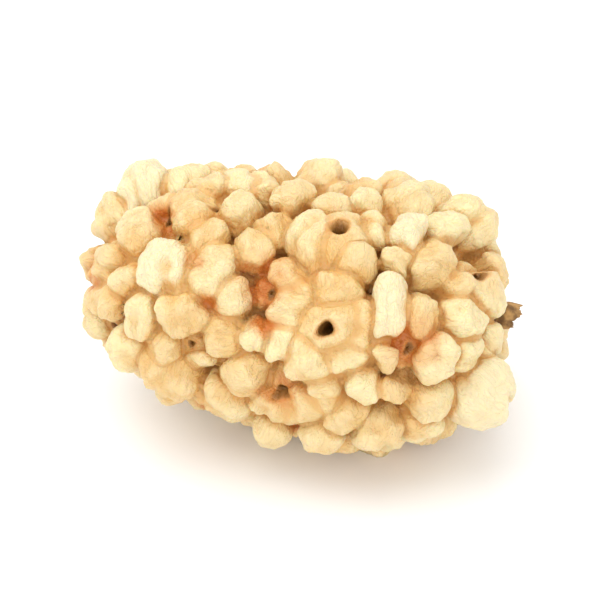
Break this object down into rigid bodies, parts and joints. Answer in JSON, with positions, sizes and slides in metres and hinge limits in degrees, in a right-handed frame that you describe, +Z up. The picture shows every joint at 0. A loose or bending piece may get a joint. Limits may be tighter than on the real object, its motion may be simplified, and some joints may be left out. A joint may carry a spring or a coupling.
{
  "type": "dried mulberry",
  "caption": "Dried white mulberry lying on its side: a knobbly cluster of shrunken fleshy lobes round small pits, with a short broken stalk.",
  "frame": {"origin": "middle of the bounding box in plan, at the height of the surface that the fruit lies on", "axes": "+X along the fruit from its tip to its stalk, +Y across it, +Z up from the surface"},
  "size_m": [0.0186, 0.0124, 0.0113],
  "materials": {
    "dried_flesh": "dry, wrinkled fruit skin, satin on the swollen lobes, cream with amber in the creases",
    "dry_stalk": "matt dry plant fibre, straw to brown"
  },
  "bodies": {
    "root": {"fruit": "dried_flesh", "stalk_stub": "dry_stalk"}
  },
  "joints": []
}
